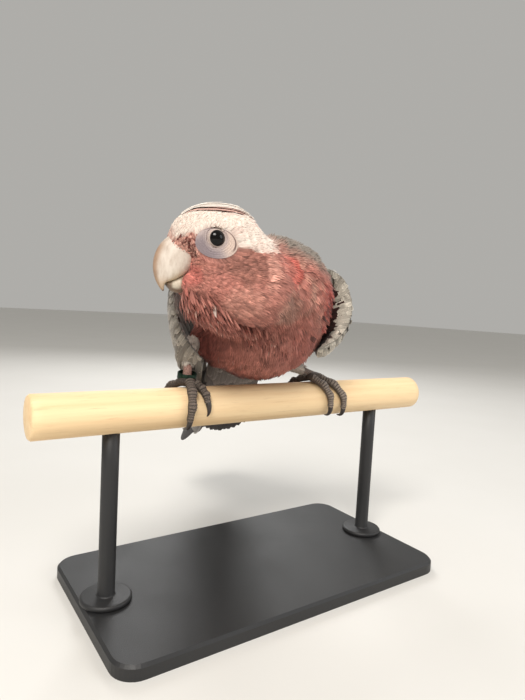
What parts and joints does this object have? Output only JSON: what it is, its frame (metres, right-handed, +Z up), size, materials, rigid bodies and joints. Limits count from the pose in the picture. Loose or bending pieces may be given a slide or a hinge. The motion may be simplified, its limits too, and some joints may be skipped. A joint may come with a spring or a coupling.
{
  "type": "galah display model",
  "caption": "Life-size still model of a galah gripping a short round perch with its head turned, on a flat stand.",
  "frame": {"origin": "on the floor, at the middle of the stand's underside", "axes": "+Z up, +X along the perch towards the bird's left, +Y towards the bird's tail"},
  "size_m": [0.3, 0.2259, 0.2407],
  "materials": {
    "plumage_head": "soft feathers, pale pink and cream",
    "plumage_crest": "soft feathers, cream",
    "plumage_breast": "soft feathers, dull rose",
    "plumage_wing": "smooth grey feathers",
    "plumage_tail": "smooth dark grey feathers",
    "plumage_leg": "short downy feathers, pale grey",
    "bill": "satin horn, off-white",
    "bill_dark": "satin horn, grey-brown",
    "eye": "wet gloss, near black",
    "scaled_skin": "dry scales, grey-brown",
    "claw": "satin horn, near black",
    "ring_metal": "anodised, dark green",
    "beech": "sanded, bare",
    "stand_steel": "satin black powder coat"
  },
  "bodies": {
    "root": {"head": "plumage_head", "crest": "plumage_crest", "bill_upper": "bill", "bill_lower": "bill_dark", "eye_left": "eye", "eye_right": "eye", "neck": "plumage_breast", "trunk": "plumage_breast", "tail": "plumage_tail", "wing_left": "plumage_wing", "wing_right": "plumage_wing", "leg_left": "plumage_leg", "leg_right": "plumage_leg", "foot_left": "scaled_skin", "foot_right": "scaled_skin", "claw_left_1": "claw", "claw_left_2": "claw", "claw_left_3": "claw", "claw_left_4": "claw", "claw_right_1": "claw", "claw_right_2": "claw", "claw_right_3": "claw", "claw_right_4": "claw", "leg_ring": "ring_metal", "perch": "beech", "stand_rod_left": "stand_steel", "stand_rod_right": "stand_steel", "stand_base": "stand_steel"}
  },
  "joints": []
}
